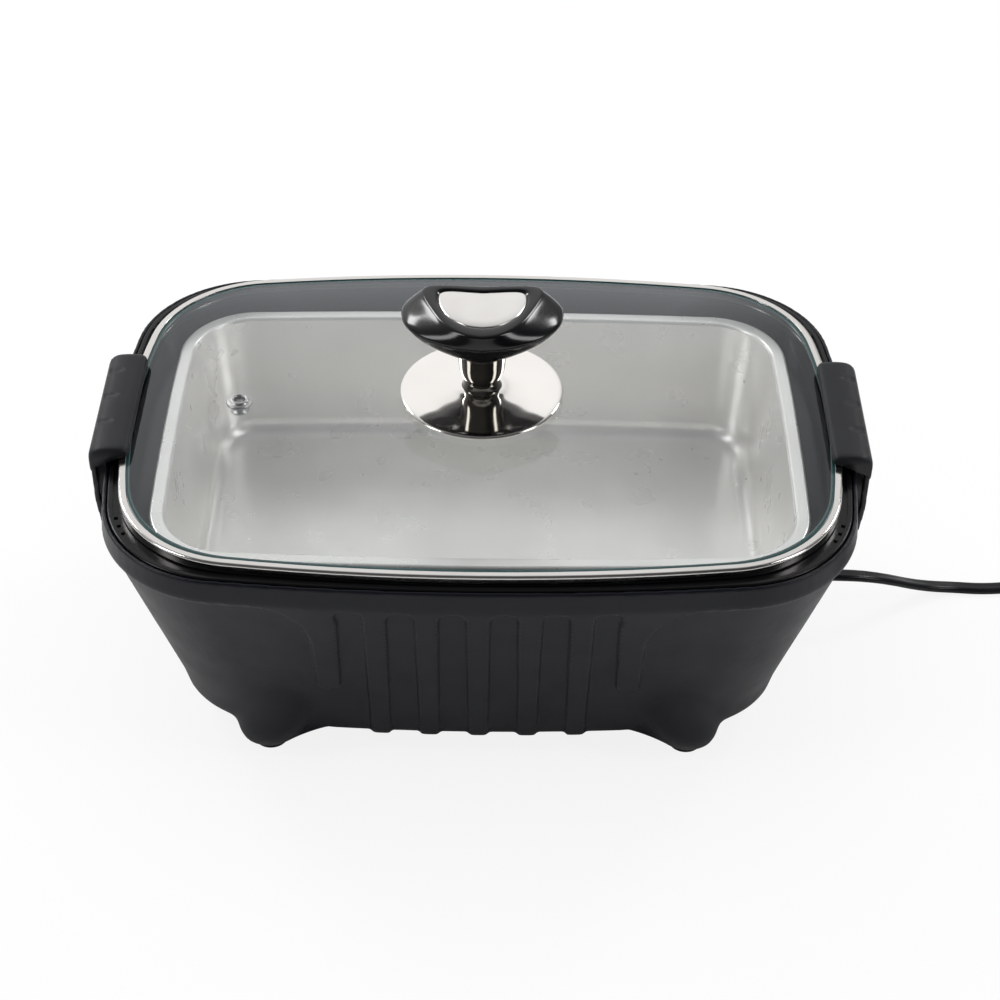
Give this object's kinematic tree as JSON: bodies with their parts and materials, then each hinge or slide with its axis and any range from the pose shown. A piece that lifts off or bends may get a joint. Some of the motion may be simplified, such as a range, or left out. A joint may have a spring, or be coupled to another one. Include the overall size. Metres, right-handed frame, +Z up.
{
  "type": "portable roaster stove",
  "caption": "Low-voltage portable roaster: tapered plastic tub with a metal cooking pan, a lift-off glass lid held by a hinged latch at each end, and a lead with an accessory plug.",
  "frame": {"origin": "centre of the tub on the surface that the feet stand on", "axes": "+X towards the end where the lead comes out, +Y towards the back, +Z up"},
  "size_m": [0.5737, 0.2242, 0.1705],
  "materials": {
    "housing_black": "fine matte moulded surface",
    "bezel_black": "satin to glossy moulded surface",
    "foot_rubber": "matte",
    "grip_black": "soft-touch matte",
    "arm_black": "satin",
    "steel_pin": "turned",
    "pan_aluminium": "satin",
    "rim_steel": "polished",
    "lid_glass": "clear toughened glass",
    "seal_silicone": "satin",
    "shield_steel": "mill finish",
    "mineral_board": "fibrous board",
    "heater_steel": "heat tinted",
    "switch_black": "moulded",
    "terminal_white": "moulded",
    "lead_red": "satin",
    "lead_black": "satin",
    "knob_steel": "polished",
    "knob_black": "polished",
    "inlay_steel": "polished, slightly brushed",
    "cord_black": "satin",
    "tie_black": "satin",
    "plug_black": "satin",
    "contact_metal": "nickel plated",
    "fuse_glass": "clear"
  },
  "bodies": {
    "base": {"housing": "housing_black", "foot_pads": "foot_rubber", "top_bezel": "bezel_black", "cooking_pan": "pan_aluminium", "heat_shield": "shield_steel", "shield_screws": "steel_pin", "post_screws": "steel_pin", "insulation_board": "mineral_board", "heating_element": "heater_steel", "element_clamp": "shield_steel", "clamp_studs": "steel_pin", "thermostat": "switch_black", "thermal_fuse": "contact_metal", "terminal_block": "terminal_white", "lead_bush": "seal_silicone", "internal_lead_plus": "lead_red", "internal_lead_minus": "lead_black", "cord_clip": "switch_black", "base_cover": "housing_black", "cover_screws": "steel_pin", "hinge_pin_right": "steel_pin", "hinge_pin_left": "steel_pin", "strain_relief": "cord_black", "cord": "cord_black", "cord_coil": "cord_black", "coil_tie": "tie_black", "plug_boot": "plug_black", "plug_body": "plug_black", "plug_cap": "plug_black", "plug_spring": "contact_metal", "plug_fuse": "fuse_glass", "plug_side_contacts": "contact_metal"},
    "lid": {"lid_glass": "lid_glass", "lid_rim": "rim_steel", "rim_seal": "seal_silicone", "steam_vent": "rim_steel", "knob_washer": "seal_silicone", "bolt_washer": "steel_pin", "knob_screw": "steel_pin", "knob_base": "knob_steel", "knob_neck": "knob_steel", "knob_handle": "knob_black", "knob_inlay": "inlay_steel"},
    "latch_left": {"latch_arm_left": "arm_black", "latch_grip_left": "grip_black"},
    "latch_right": {"latch_arm_right": "arm_black", "latch_grip_right": "grip_black"},
    "plug_tip": {"plug_tip": "contact_metal"}
  },
  "joints": [
    {"name": "latch_right_hinge", "type": "hinge", "parent": "base", "child": "latch_right", "pos_m": [0.1508, 0, 0.066], "axis": [0, 1, 0], "range_deg": [0, 120]},
    {"name": "latch_left_hinge", "type": "hinge", "parent": "base", "child": "latch_left", "pos_m": [-0.1508, 0, 0.066], "axis": [0, -1, 0], "range_deg": [0, 120]},
    {"name": "lid_lift", "type": "slide", "parent": "base", "child": "lid", "axis": [0, 0, 1], "range_m": [0, 0.12]},
    {"name": "plug_tip_slide", "type": "slide", "parent": "base", "child": "plug_tip", "axis": [-1, 0, 0], "range_m": [0, 0.003], "stiffness_N_per_m": 400, "springref_m": -0.002, "deforming": ["plug_spring"]}
  ]
}
